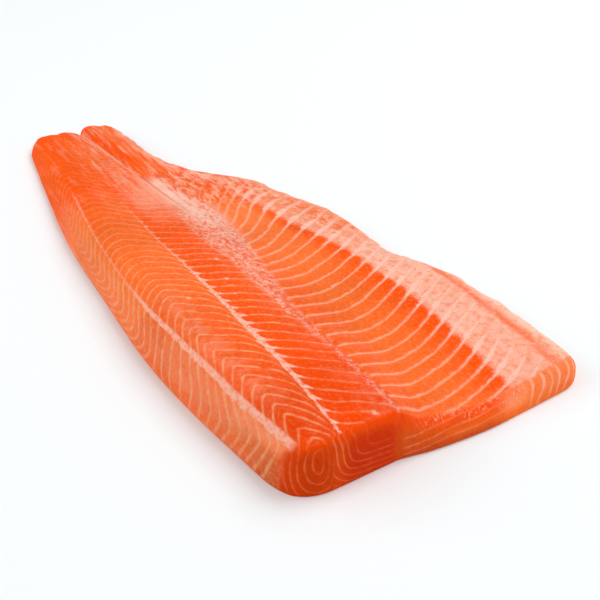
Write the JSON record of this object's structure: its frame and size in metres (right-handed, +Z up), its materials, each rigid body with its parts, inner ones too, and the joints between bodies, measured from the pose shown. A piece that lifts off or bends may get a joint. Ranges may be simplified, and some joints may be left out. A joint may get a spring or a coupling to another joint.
{
  "type": "salmon trout fillet",
  "caption": "Whole raw side of salmon trout lying flesh up: thick loin, thin rib and belly flap, narrow tail, squarely cut head end, orange flesh with pale bands.",
  "frame": {"origin": "middle of the bottom of the bounding box, on the flat skin side that the fillet lies on", "axes": "+X from the tail to the head end, +Y from the back (loin) to the belly, +Z up out of the flesh side"},
  "size_m": [0.4384, 0.19, 0.0305],
  "materials": {
    "flesh": "raw moist fish flesh, orange with pale pink fat bands, softly translucent, satin gloss"
  },
  "bodies": {
    "root": {"fillet": "flesh"}
  },
  "joints": []
}
